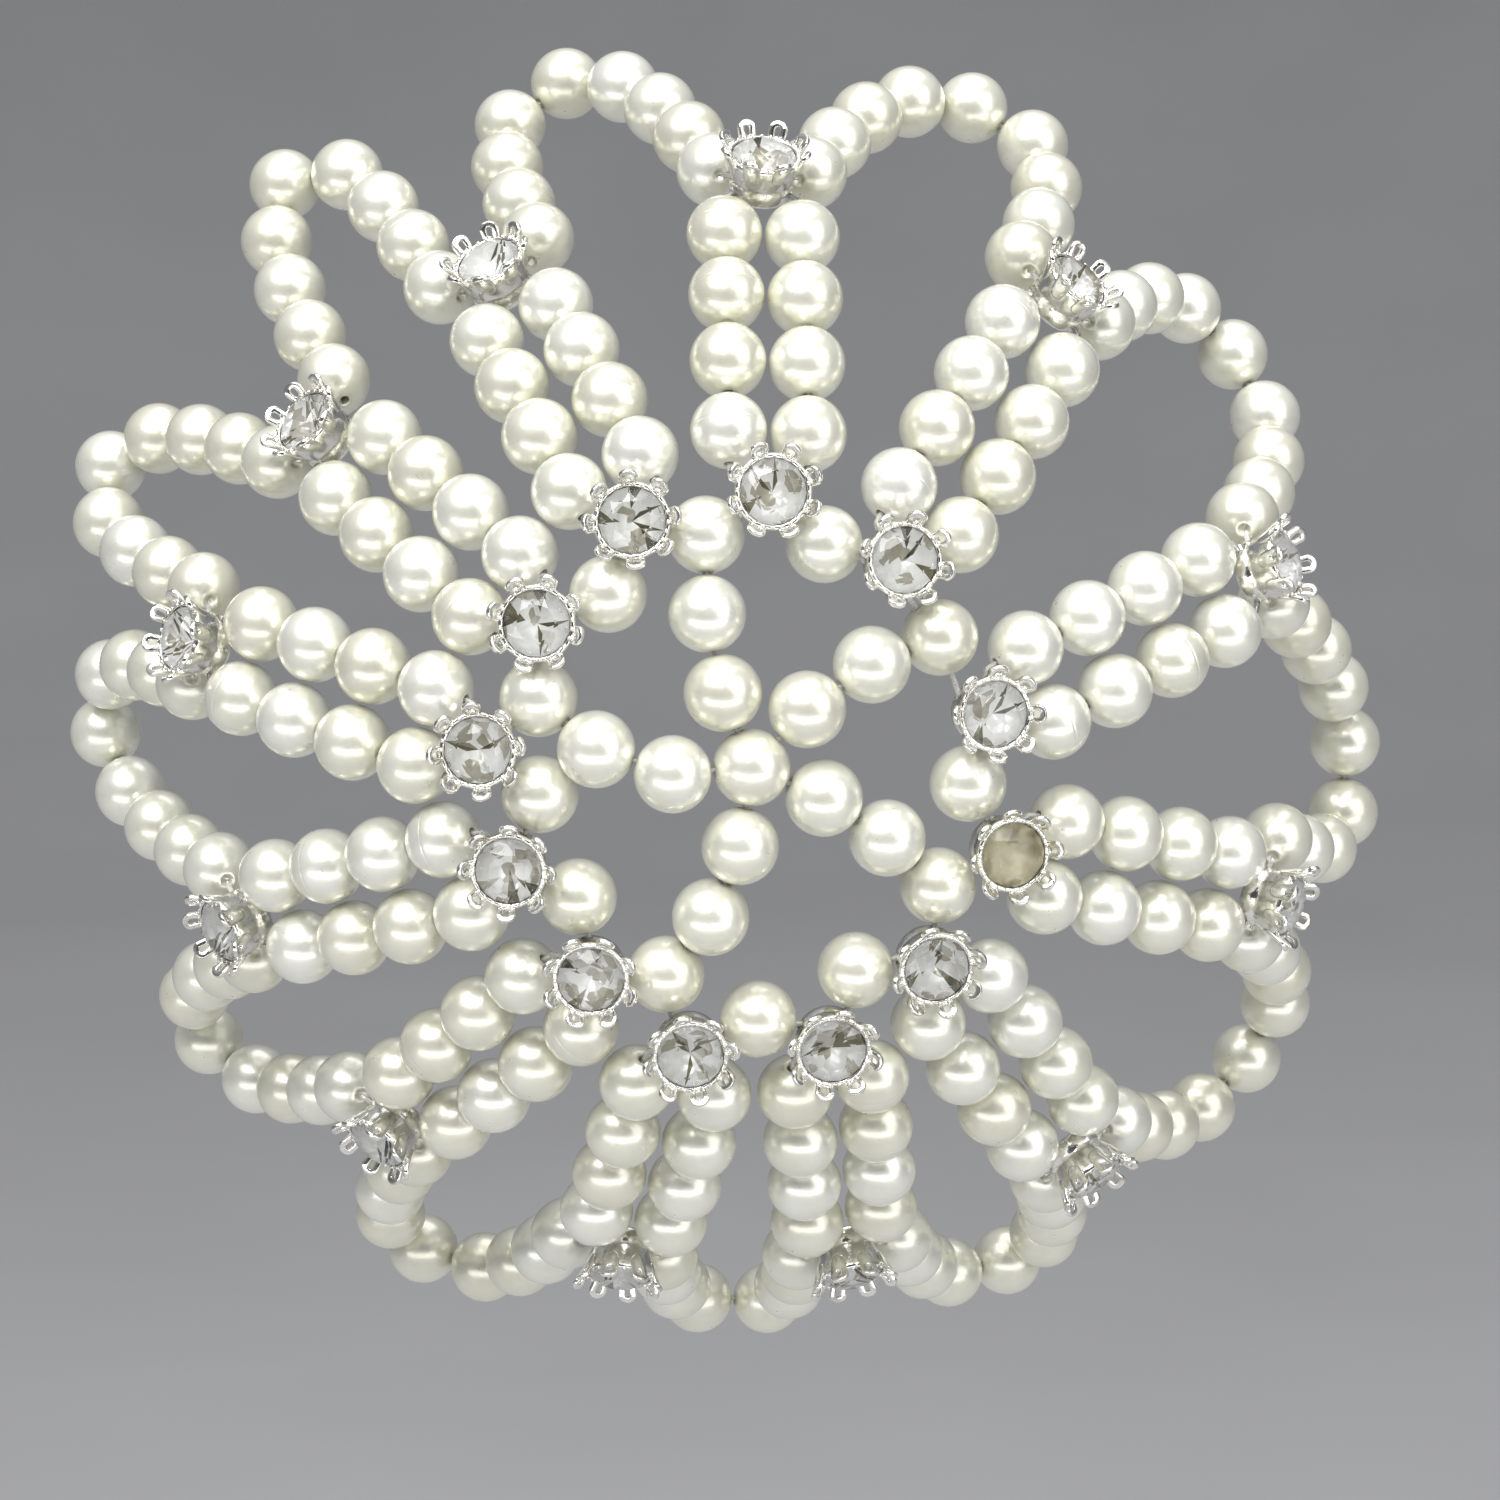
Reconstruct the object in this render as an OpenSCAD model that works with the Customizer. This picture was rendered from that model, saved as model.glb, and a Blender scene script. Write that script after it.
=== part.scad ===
// Pearl bun net: a dome of pearl strings and clear stones that covers a hair bun

/* [Pearls] */
// Diameter of a pearl
pearl_d = 6; // [5.6:0.1:6]
// Distance between the centres of two neighbouring pearls on a string
pearl_pitch = 6.12; // [6.12:0.01:6.2]
// Diameter of the hole through a pearl
bore_d = 1.2; // [1:0.1:1.4]
// Diameter of the thread
thread_d = 0.5; // [0.4:0.05:0.6]

/* [Stones and settings] */
// Diameter of a stone across its girdle
stone_d = 5.1; // [4.8:0.1:5.1]
// Diameter of a stone's flat table
table_d = 3; // [2.6:0.1:3.4]
// Height of a stone above its girdle
crown_rise = 0.8; // [0.6:0.1:1]
// Depth of a stone below its girdle
pavilion_drop = 1.7; // [1.4:0.1:1.75]
// Height of the girdle above the threads
girdle_rise = 2.9; // [2.8:0.05:3]
// Diameter of a setting at its foot
foot_d = 5; // [4.8:0.1:5]
// Outer diameter of a setting at its rim
rim_d = 5.9; // [5.8:0.1:6]
// Number of looped claws round a setting
claws = 8; // [6:1:8]
// Outward lean of the claws, in degrees
claw_lean = 25; // [15:1:30]

/* [Net] */
// Height of the inner ring above the base, where the edge meets the head
ring_h = 44; // [40:1:48]
// Distance between the two strings of a spoke
strand_gap = 6.14; // [6.12:0.01:6.2]
// Height by which a spoke bows outward over the bun
spoke_bow = 1.3; // [0.5:0.1:1.6]
// Outward tilt of the inner stones, in degrees
inner_tilt = 11; // [8:1:14]
// Outward tilt of the outer stones, in degrees
outer_tilt = 60; // [55:1:65]
// Fullness of a scallop: 2 is half an ellipse, more is squarer
scallop_power = 2.4; // [2:0.1:2.8]
// Height of the web's middle pearl above the inner ring
web_rise = 3; // [3:0.5:4]
// Lean of the web's bowed arms out of the ring's plane, in degrees
web_lean = 36; // [34:1:45]

/* [Hidden] */

function numbered(name, k) = str(name, k < 10 ? "0" : "", k);

// One row for each spoke, clockwise from the top as seen on the head.
// The angles are in degrees from the right, the rest is in millimetres.
INNER_A = 0;  // direction of the inner stone
INNER_R = 1;  // distance of the inner stone from the axis
OUTER_A = 2;  // direction of the outer stone
OUTER_R = 3;  // distance of the outer stone from the axis
FLARE = 4;    // outward reach of the scallop after it, at flare_depth below its stones
SWAY = 5;     // shift of that scallop toward the next spoke, at the same depth
PEARLS = 6;   // number of pearls in that scallop
SPOKES = [
    [  87, 22.0,   87, 45.0, 14.0,  4.0, 9],
    [  57, 20.0,   54, 44.0, 12.5,  0.0, 9],
    [  16, 18.5,   19, 44.0, 14.0, 10.0, 9],
    [ -16, 20.0,  -16, 44.5, 15.0,  0.5, 9],
    [ -46, 19.5,  -50, 43.5, 13.5,  2.0, 9],
    [ -74, 21.0,  -77, 42.5, 11.5, -2.0, 8],
    [-104, 21.0, -102, 42.0, 13.0, -1.5, 9],
    [-131, 19.0, -132, 40.5, 11.0,  0.0, 9],
    [-162, 19.5, -161, 41.0, 10.0,  3.0, 9],
    [-188, 21.0, -192, 42.5, 13.0, -1.5, 9],
    [-217, 20.5, -218, 40.5, 18.0,  3.5, 9],
    [-245, 22.0, -244, 41.0, 13.0, -5.0, 9],
];
flare_depth = 23;

// Ring pearls that carry an arm of the web, counted from the one after the first spoke
WEB_ANCHORS = [11, 1, 3, 6, 9];

spokes = len(SPOKES);
// Pearls in each of the two strings of a spoke
spoke_pearls = 4;
pearl_r = pearl_d / 2;
bore_r = bore_d / 2;
thread_r = thread_d / 2;
thread_sides = 6;
foot_r = foot_d / 2;
// Clearance between a ring pearl and the settings beside it
ring_gap = 0.18;
ring_pitch = foot_r + pearl_r + ring_gap;
// Distance from a seat to the first pearl of a spoke
strand_start = 5.2;
spoke_l = 2 * strand_start + (spoke_pearls - 1) * pearl_pitch;
// Distance from a pearl's centre at which its thread may bend
mouth = pearl_r - 0.15;
$fn = 24;

// Vectors and rings of points
function unit(v) = v / norm(v);
function mix(a, b, s) = a + (b - a) * s;
function polar(r, a, z) = [r * cos(a), r * sin(a), z];
function flat(v) = [v.x, v.y, 0];
function turned(k) = (k + spokes) % spokes;
function row(k) = SPOKES[turned(k)];

// Seats of the stones: the points where the threads cross inside the settings
function inner_seat(k) = polar(row(k)[INNER_R], row(k)[INNER_A], ring_h);
function outer_flat(k) = polar(row(k)[OUTER_R], row(k)[OUTER_A], ring_h);
function spoke_run(k) = norm(outer_flat(k) - inner_seat(k));
function spoke_drop(k) = sqrt(pow(spoke_l, 2) - pow(spoke_run(k), 2));
function outer_seat(k) = outer_flat(k) - [0, 0, spoke_drop(k)];

// Directions of a spoke: along it, across it and out of the dome
function along(k) = unit(outer_seat(k) - inner_seat(k));
function across(k) = unit(cross([0, 0, 1], along(k)));
function outward(k) = cross(along(k), across(k));
function radial(k) = unit(flat(along(k)));

// A setting's own directions, tilted from the dome's axis toward the spoke
function seat_out(k, tilt) = radial(k) * sin(tilt) + [0, 0, cos(tilt)];
function seat_along(k, tilt) = radial(k) * cos(tilt) - [0, 0, sin(tilt)];
function seat_point(seat, k, tilt, p) =
    seat + seat_along(k, tilt) * p.x + across(k) * p.y + seat_out(k, tilt) * p.z;

// Pearls of a spoke, on two strings that bow over the bun
function bow(s) = 4 * spoke_bow * (s / spoke_l) * (1 - s / spoke_l);
function spoke_pearl(k, side, i) =
    let (s = strand_start + i * pearl_pitch)
    inner_seat(k) + along(k) * s + across(k) * (side * strand_gap / 2) + outward(k) * bow(s);
function strand(k, side) = [for (i = [0:spoke_pearls - 1]) spoke_pearl(k, side, i)];

// A ring pearl nests between two settings, on the inner side of the ring
function ring_pearl(k) =
    let (
        a = inner_seat(k),
        b = inner_seat(k + 1),
        middle = (a + b) / 2,
        half = norm(b - a) / 2,
        inward = unit(cross(b - a, [0, 0, 1])),
        inset = half < ring_pitch ? sqrt(pow(ring_pitch, 2) - pow(half, 2)) : 0
    )
    middle + inward * inset;

// A scallop hangs from two outer settings, in its own tilted plane. It is half a
// superellipse whose tip is shifted sideways, with the pearls one pitch apart along it.
edge_side = 3.5;   // distance of its first pearl from the seat, along the edge
edge_drop = 4.95;  // and down from the seat
function edge_middle(k) = (outer_seat(k) + outer_seat(k + 1)) / 2;
function edge_across(k) = unit(outer_seat(k + 1) - outer_seat(k));
function edge_half(k) = norm(outer_seat(k + 1) - outer_seat(k)) / 2 - edge_side;
function edge_down(k) =
    let (
        hang = unit(flat(edge_middle(k))) * row(k)[FLARE] - [0, 0, flare_depth],
        x = edge_across(k)
    )
    unit(hang - x * (hang * x));

// A point of the curve, whose turn goes from 0 at one setting to 180 at the next.
// A shape holds its half width, its depth, its sideways shift for each unit of depth
// and its number of pearls.
function curve(shape, turn) =
    let (
        across = pow(abs(cos(turn)), 2 / scallop_power) * sign(cos(turn)),
        down = pow(sin(turn), 2 / scallop_power) * shape[1]
    )
    [down * shape[2] - across * shape[0], down];
function gap_between(shape, a, b) = norm(curve(shape, a) - curve(shape, b));
function next_turn(shape, last, low, high, tries = 16) =
    let (half = (low + high) / 2)
    tries == 0 ? half
    : gap_between(shape, last, half) < pearl_pitch
        ? next_turn(shape, last, half, high, tries - 1)
        : next_turn(shape, last, low, half, tries - 1);
function turns(shape, so_far = [0]) =
    let (last = so_far[len(so_far) - 1])
    len(so_far) == shape[3] - 1 ? so_far
    : turns(shape, concat(so_far, next_turn(shape, last, last, min(last + 90, 180))));
// The depth at which the last pearl comes one pitch after the one before it
function depth_of(half, lean, count, low = 10, high = 30, tries = 16) =
    let (
        depth = (low + high) / 2,
        shape = [half, depth, lean, count],
        last = turns(shape)[count - 2]
    )
    tries == 0 ? depth
    : gap_between(shape, last, 180) < pearl_pitch
        ? depth_of(half, lean, count, depth, high, tries - 1)
        : depth_of(half, lean, count, low, depth, tries - 1);
function scallop(k) =
    let (
        lean = row(k)[SWAY] / flare_depth,
        count = row(k)[PEARLS],
        shape = [edge_half(k), depth_of(edge_half(k), lean, count), lean, count],
        middle = edge_middle(k),
        x = edge_across(k),
        down = edge_down(k)
    )
    [for (turn = concat(turns(shape), [180]), p = [curve(shape, turn)])
        middle + x * p.x + down * (edge_drop + p.y)];

// The web: one pearl in the middle and bowed arms of two pearls to some of the ring pearls
web_right = -0.5;
web_up = 1.5;
web_middle = [web_right, web_up, ring_h + web_rise];
function web_arm(k) =
    let (
        reach = ring_pearl(k) - web_middle,
        end_run = (norm(reach) - pearl_pitch) / 2,
        sway = end_run < pearl_pitch ? sqrt(pow(pearl_pitch, 2) - pow(end_run, 2)) : 0,
        side = unit(cross([0, 0, 1], reach)),
        up = cross(unit(reach), side),
        shift = (side * cos(web_lean) + up * sin(web_lean)) * sway
    )
    [for (run = [end_run, end_run + pearl_pitch]) web_middle + unit(reach) * run + shift];

// Where the threads leave a setting, in the setting's own directions
near_bore = 0.8;   // hole of the spoke's threads, toward the spoke
far_bore = -1.35;  // hole of the ring's or the edge's thread, away from the spoke
exit_side = 3.05;  // bend of the spoke's and the edge's threads beside the setting
ring_exit = 2.1;   // bend of the ring's thread beside the setting
function inner_exit(k, x, side) = seat_point(inner_seat(k), k, inner_tilt, [x, side, 0]);
function outer_exit(k, x, side) = seat_point(outer_seat(k), k, outer_tilt, [-x, side, 0]);

// A line of points holds the pearls of a string and the points before and after them.
// The ways of a pearl point back and on along it, and its bend is the angle between them.
function ways(line, i) = [unit(line[i - 1] - line[i]), unit(line[i + 1] - line[i])];
function bend(way) = acos(min(1, -way[0] * way[1]));
function hole_axis(way) = unit(way[1] - way[0]);
function strand_line(k, side) = concat(
    [inner_exit(k, near_bore, side * exit_side)],
    strand(k, side),
    [outer_exit(k, near_bore, side * exit_side)]
);
function scallop_line(k) = concat(
    [outer_exit(k, far_bore, -exit_side)],
    scallop(k),
    [outer_exit(k + 1, far_bore, exit_side)]
);
function web_line(k) = concat([web_middle], web_arm(k), [ring_pearl(k)]);
function ring_line(k) = [
    inner_exit(k, far_bore, -ring_exit),
    ring_pearl(k),
    inner_exit(k + 1, far_bore, ring_exit),
];

// The nearly straight threads of a spoke bend at the mouths of the pearls' holes,
// and all other threads bend in the pearls' middles
function through(line) =
    [for (i = [1:len(line) - 2], side = [-1, 1]) line[i] + hole_axis(ways(line, i)) * side * mouth];
function reversed(v) = [for (i = [len(v) - 1:-1:0]) v[i]];

function ring_route() = [for (k = [0:spokes - 1], p = [
    inner_exit(k, far_bore, ring_exit),
    inner_exit(k, far_bore, -ring_exit),
    ring_pearl(k),
]) p];
function spoke_route(k) = concat(
    [for (side = [-1, 1]) inner_exit(k, near_bore, side * exit_side)],
    through(strand_line(k, 1)),
    [for (side = [1, -1]) outer_exit(k, near_bore, side * exit_side)],
    reversed(through(strand_line(k, -1)))
);
function edge_route() = [for (k = [0:spokes - 1], p = concat(
    [for (side = [1, -1]) outer_exit(k, far_bore, side * exit_side)],
    scallop(k)
)) p];
web_end = 0.7; // distance of a web thread's end from the centre of the pearl that holds it
function web_route(k) =
    let (arm = web_arm(k))
    concat(
        [mix(web_middle, arm[0], web_end / pearl_pitch)],
        arm,
        [mix(ring_pearl(k), arm[1], web_end / pearl_pitch)]
    );

module pearl(centre, dir) {
    translate(centre)
    multmatrix(frame_of(dir))
    difference() {
        sphere(pearl_r);
        cylinder(h = pearl_d + 1, r = bore_r, center = true);
    }
}

// A turn that brings the vertical onto one direction and the X axis onto another, square to it
function turn_onto(z, x) =
    let (y = cross(z, x))
    [[x.x, y.x, z.x, 0], [x.y, y.y, z.y, 0], [x.z, y.z, z.z, 0], [0, 0, 0, 1]];
function frame_of(dir) = turn_onto(dir, unit(cross(abs(dir.z) < 0.9 ? [0, 0, 1] : [1, 0, 0], dir)));

// A pearl whose holes run from a small round hollow in its middle, where its threads
// bend or end. Its poles and its seam are turned away from the holes.
knot_r = 1.15;
knot_bore_r = 0.45;
knot_start = 0.95;
module pearl_knot(centre, dirs, pole, seam) {
    translate(centre)
    difference() {
        multmatrix(turn_onto(pole, seam)) sphere(pearl_r);
        multmatrix(turn_onto(pole, seam)) sphere(knot_r);
        for (dir = dirs)
            multmatrix(frame_of(dir))
            translate([0, 0, knot_start])
            cylinder(h = pearl_r, r = knot_bore_r);
    }
}

// A string's pearls have straight holes, apart from those where the string bends sharply
straight_bend = 8;
module string_along(line) {
    for (i = [1:len(line) - 2]) {
        way = ways(line, i);
        if (bend(way) < straight_bend)
            pearl(line[i], hole_axis(way));
        else
            pearl_knot(line[i], way, unit(cross(way[0], way[1])), -unit(way[0] + way[1]));
    }
}

// The dome's axis points to the back of the head, which is -Y
module worn() {
    rotate([90, 0, 0]) children();
}

module at_seat(seat, k, tilt, turn = 0) {
    x = seat_along(k, tilt);
    y = across(k);
    z = seat_out(k, tilt);
    multmatrix([
        [x.x, y.x, z.x, seat.x],
        [x.y, y.y, z.y, seat.y],
        [x.z, y.z, z.z, seat.z],
        [0, 0, 0, 1],
    ])
    rotate([0, 0, turn])
    children();
}

// Settings: a cup whose lip turns in over the stone, with looped claws round its rim
foot_h = 1.5;
wall = 0.25;
lip = 0.12;        // overlap of the lip over the stone
lip_t = 0.12;      // thickness of the lip's edge
lip_rise = 0.18;   // height of the lip's underside above the girdle
rim_rise = 0.1;    // height of the rim above the girdle
floor_r = 1.1;     // radius of the flat floor under the stone
funnel_r = 1.9;    // radius and height of the funnel round it
funnel_h = 0.3;
claw_w = 1.25;
claw_l = 1.15;
claw_t = 0.3;
claw_root = 2.5;
claw_eye = 0.55;
hole_play = 0.2;   // clearance of a thread in its hole

module setting_wall() {
    rim_r = rim_d / 2;
    lip_r = stone_d / 2 - lip;
    rotate_extrude()
    polygon([
        [0, -foot_h / 2],
        [foot_r, -foot_h / 2],
        [foot_r, foot_h / 2],
        [rim_r, claw_root],
        [rim_r, girdle_rise + rim_rise],
        [lip_r, girdle_rise + lip_rise + lip_t],
        [lip_r, girdle_rise + lip_rise],
        [rim_r - wall, girdle_rise],
        [rim_r - wall, claw_root],
        [funnel_r, foot_h / 2 + funnel_h],
        [floor_r, foot_h / 2],
        [0, foot_h / 2],
    ]);
}

module claw() {
    translate([rim_d / 2 - claw_t / 2, 0, claw_root])
    rotate([0, claw_lean, 0])
    rotate([90, 0, 90])
    translate([0, 0, -claw_t / 2])
    linear_extrude(claw_t)
    difference() {
        union() {
            translate([-claw_w / 2, 0]) square([claw_w, claw_l]);
            translate([0, claw_l]) circle(d = claw_w);
        }
        translate([0, claw_l]) circle(d = claw_eye);
    }
}

module setting() {
    difference() {
        union() {
            setting_wall();
            for (i = [0:claws - 1]) rotate([0, 0, (i + 0.5) * 360 / claws]) claw();
        }
        for (x = [near_bore, far_bore])
            translate([x, 0, 0])
            rotate([90, 0, 0])
            cylinder(h = 2 * rim_d, r = thread_r + hole_play, center = true);
    }
}

// A round brilliant: table, stars, kites, girdle and pavilion, all flat facets
girdle_t = 0.12;
star_share = 0.6;    // reach of the star facets, from the table to the girdle
lower_share = 0.35;  // reach of the lower mains, from the point to the girdle
module brilliant() {
    mains = 8;
    step = 360 / mains;
    table_r = table_d / 2;
    girdle_r = stone_d / 2;
    star_r = mix(table_r, girdle_r, star_share);
    lower_r = girdle_r * lower_share;
    kite_slope = crown_rise / (girdle_r - table_r);
    star_z = crown_rise - (star_r * cos(step / 2) - table_r) * kite_slope;
    lower_z = -girdle_t - pavilion_drop * (1 - lower_r * cos(step / 2) / girdle_r);
    points = concat(
        [for (i = [0:mains - 1]) polar(table_r, i * step, crown_rise)],
        [for (i = [0:mains - 1]) polar(star_r, (i + 0.5) * step, star_z)],
        [for (i = [0:2 * mains - 1]) polar(girdle_r, i * step / 2, 0)],
        [for (i = [0:2 * mains - 1]) polar(girdle_r, i * step / 2, -girdle_t)],
        [for (i = [0:mains - 1]) polar(lower_r, (i + 0.5) * step, lower_z)],
        [[0, 0, -girdle_t - pavilion_drop]]
    );
    star = mains;
    top = 2 * mains;
    bottom = 4 * mains;
    lower = 6 * mains;
    culet = 7 * mains;
    faces = concat(
        [[for (i = [mains - 1:-1:0]) i]],
        [for (i = [0:mains - 1]) [i, (i + 1) % mains, star + i]],
        [for (i = [0:mains - 1]) [i, star + i, top + 2 * i, star + (i + mains - 1) % mains]],
        [for (i = [0:mains - 1]) [star + i, top + 2 * i + 1, top + 2 * i]],
        [for (i = [0:mains - 1]) [star + i, top + (2 * i + 2) % (2 * mains), top + 2 * i + 1]],
        [for (i = [0:2 * mains - 1])
            let (j = (i + 1) % (2 * mains)) [top + i, top + j, bottom + j, bottom + i]],
        [for (i = [0:mains - 1]) [bottom + 2 * i, bottom + 2 * i + 1, lower + i]],
        [for (i = [0:mains - 1]) [bottom + 2 * i + 1, bottom + (2 * i + 2) % (2 * mains), lower + i]],
        [for (i = [0:mains - 1])
            [bottom + 2 * i, lower + i, culet, lower + (i + mains - 1) % mains]]
    );
    polyhedron(points, faces);
}

// A thread: a tube swept along its points, with its rings in the planes that halve the bends
function bend_dir(points, i, closed) =
    let (
        n = len(points),
        before = closed ? points[(i + n - 1) % n] : points[max(i - 1, 0)],
        after = closed ? points[(i + 1) % n] : points[min(i + 1, n - 1)]
    )
    unit(
        (before == points[i] ? [0, 0, 0] : unit(points[i] - before))
        + (after == points[i] ? [0, 0, 0] : unit(after - points[i]))
    );
module thread(points, helps, closed) {
    n = len(points);
    rings = [for (i = [0:n - 1])
        let (
            dir = bend_dir(points, i, closed),
            x = unit(cross(helps[i], dir)),
            y = cross(dir, x)
        )
        for (j = [0:thread_sides - 1])
            points[i] + (x * cos(j * 360 / thread_sides) + y * sin(j * 360 / thread_sides)) * thread_r];
    spans = closed ? n : n - 1;
    sides = [for (i = [0:spans - 1], j = [0:thread_sides - 1])
        let (
            a = i * thread_sides,
            b = ((i + 1) % n) * thread_sides,
            next = (j + 1) % thread_sides
        )
        [a + j, b + j, b + next, a + next]];
    ends = closed ? [] : [
        [for (j = [0:thread_sides - 1]) j],
        [for (j = [thread_sides - 1:-1:0]) (n - 1) * thread_sides + j],
    ];
    polyhedron(rings, concat(sides, ends));
}

// Sub-parts
pearl_colour = "ivory";
metal_colour = "silver";
stone_colour = "azure";
thread_colour = "whitesmoke";

module ring_pearls() {
    color(pearl_colour) worn()
    for (k = [0:spokes - 1]) {
        way = ways(ring_line(k), 1);
        web_way = [for (i = WEB_ANCHORS) if (i == k) unit(web_arm(k)[1] - ring_pearl(k))];
        between = way[0] - unit(way[0] + way[1]);
        pearl_knot(ring_pearl(k), concat(way, web_way), [0, 0, 1], unit(flat(between)));
    }
}

module web_pearls() {
    color(pearl_colour) worn() {
        web_ways = [for (k = WEB_ANCHORS) unit(web_arm(k)[0] - web_middle)];
        pearl_knot(web_middle, web_ways, [0, 0, 1], [1, 0, 0]);
        for (k = WEB_ANCHORS) string_along(web_line(k));
    }
}

module spoke_strings(k) {
    color(pearl_colour) worn()
    for (side = [-1, 1]) string_along(strand_line(k, side));
}

module edge_string(k) {
    color(pearl_colour) worn()
    string_along(scallop_line(k));
}

module inner_settings() {
    color(metal_colour) worn()
    for (k = [0:spokes - 1]) at_seat(inner_seat(k), k, inner_tilt) setting();
}

module outer_settings() {
    color(metal_colour) worn()
    for (k = [0:spokes - 1]) at_seat(outer_seat(k), k, outer_tilt, 180) setting();
}

module stone(seat, k, tilt) {
    color(stone_colour) worn()
    at_seat(seat, k, tilt)
    translate([0, 0, girdle_rise])
    brilliant();
}

module ring_thread() {
    color(thread_colour) worn()
    thread(ring_route(), [for (p = ring_route()) [0, 0, 1]], true);
}

module web_threads() {
    color(thread_colour) worn()
    for (k = WEB_ANCHORS)
        thread(web_route(k), [for (p = web_route(k)) [0, 0, 1]], false);
}

module spoke_threads() {
    color(thread_colour) worn()
    for (k = [0:spokes - 1])
        thread(spoke_route(k), [for (p = spoke_route(k)) outward(k)], true);
}

module edge_thread() {
    color(thread_colour) worn()
    thread(edge_route(), [for (p = edge_route()) unit(flat(p))], true);
}

ring_pearls();
web_pearls();
inner_settings();
outer_settings();
ring_thread();
web_threads();
spoke_threads();
edge_thread();
for (k = [1:spokes]) {
    stone(inner_seat(k - 1), k - 1, inner_tilt);
    stone(outer_seat(k - 1), k - 1, outer_tilt);
    spoke_strings(k - 1);
    edge_string(k - 1);
}
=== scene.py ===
"""A net of pearl strings and cut stones that covers a hair bun, seen as it is worn."""
import math
import random

import bmesh
import bpy
import numpy as np
from mathutils import Matrix, Vector


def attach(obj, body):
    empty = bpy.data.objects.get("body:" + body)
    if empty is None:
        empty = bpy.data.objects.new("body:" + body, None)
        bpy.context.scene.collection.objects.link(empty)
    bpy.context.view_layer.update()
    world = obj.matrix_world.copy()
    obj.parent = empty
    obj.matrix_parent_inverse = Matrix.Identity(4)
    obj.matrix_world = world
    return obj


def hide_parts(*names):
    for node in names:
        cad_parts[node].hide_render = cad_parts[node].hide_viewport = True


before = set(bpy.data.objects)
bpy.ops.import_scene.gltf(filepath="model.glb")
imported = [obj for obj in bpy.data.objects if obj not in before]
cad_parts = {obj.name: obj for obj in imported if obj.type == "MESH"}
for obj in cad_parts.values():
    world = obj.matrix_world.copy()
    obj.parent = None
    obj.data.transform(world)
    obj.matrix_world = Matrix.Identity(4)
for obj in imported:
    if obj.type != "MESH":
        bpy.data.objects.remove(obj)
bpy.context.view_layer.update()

MM = 0.001
TAU = 2 * math.pi
SPOKES = 12
CLOUDED = ("inner", 4)
PEARL_SEED = 7
STONE_SEED = 11

# Corners this close are joined, in the units of their own mesh
WELD = 1e-4

# The photograph's camera, in metres: it looks slightly down on the net from its left
CAMERA_AT = (-0.0366, -0.390, 0.0525)
CAMERA_TARGET = (0.0018, -0.024, -0.0005)
CAMERA_VIEW = math.radians(18.6)
CAMERA_NEAR = 0.01

# Pearls, in millimetres
PEARL_R = 3.0
BORE_R = 0.4
MOUTH_LIP = 0.12
LIP_DEPTH = 0.25
LIP_STEPS = (0.3, 0.65, 1)
BELTS = 24
SIDES = 32
KNOT_DETAIL = 5
KNOT_HOLE_R = 0.4
KNOT_HOLE_DEPTH = 0.5
SEAM_SHARE = 0.16
SEAM_DEPTH = 0.035
SEAM_WIDTH = math.radians(1.1)
SQUASH = 0.012

# How a CAD pearl is read: shares of its radius, then cosines and an angle
OUTSIDE_FROM = 0.8
MOUTH_FROM = 0.93
WALL_FACING = 0.5
OPPOSITE = -0.999
ALONG = 0.95
MOUTH_SPREAD = math.radians(25)

# How a CAD stone is read: a cosine, a share of its radius, an angle and a height in millimetres
SAME_FACET = 0.9999
GIRDLE_FROM = 0.99
FACET_ANGLE = 0.002
FOIL_BELOW = -0.15

# Settings, in millimetres, measured from the crossing of their threads
GIRDLE_RISE = 2.9
FOOT_R = 2.5
FOOT_H = 1.5
RIM_R = 2.95
WALL = 0.25
CUP_SIDES = 48
CLAW_ROOT = 2.3
CLAWS = 8
CLAW_W = 1.35
CLAW_L = 1.35
CLAW_T = 0.36
EYE_W = 0.46
EYE_FROM = 1.0
EYE_TO = 1.3
CLAW_BEVEL = 0.09
CLAW_CORNER = math.radians(40)
CLAW_LEAN = math.radians(12)
CLAW_CURL = math.radians(34)
CLAW_POINTS = 20
CLAW_STEPS = 40
GRAINS = 24
GRAIN_R = 0.19
GRAIN_DETAIL = 2
GRAIN_RING_R = 2.75
GRAIN_RISE = 0.1
THREAD_HOLE_R = 0.45
THREAD_HOLES = (0.8, -1.35)
PIN_SIDES = 16

# Stage, in metres
FLOOR_Z = -0.30
FLOOR_R = 1.6
FLOOR_MIDDLE_R = 0.001
SWEEP_R = 1.1
FLOOR_STEPS = 10
FLOOR_SIDES = 64
CARD_AT = (-0.05, -0.62, -0.02)
CARD_R = 0.36
CARD_SIDES = 48
SKY_STRENGTH = 0.5

# Lights: name, place and size in metres, power in watts
LIGHTS = (
    ("key", (-0.35, -0.55, 0.75), (0.8, 0.6), 11),
    ("top", (0.05, -0.05, 1.1), (1.2, 0.9), 6),
    ("right", (0.55, -0.75, 0.35), (0.9, 0.9), 4.5),
    ("low", (-0.02, -0.28, -0.10), (0.8, 0.08), 0.5),
)

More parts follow.
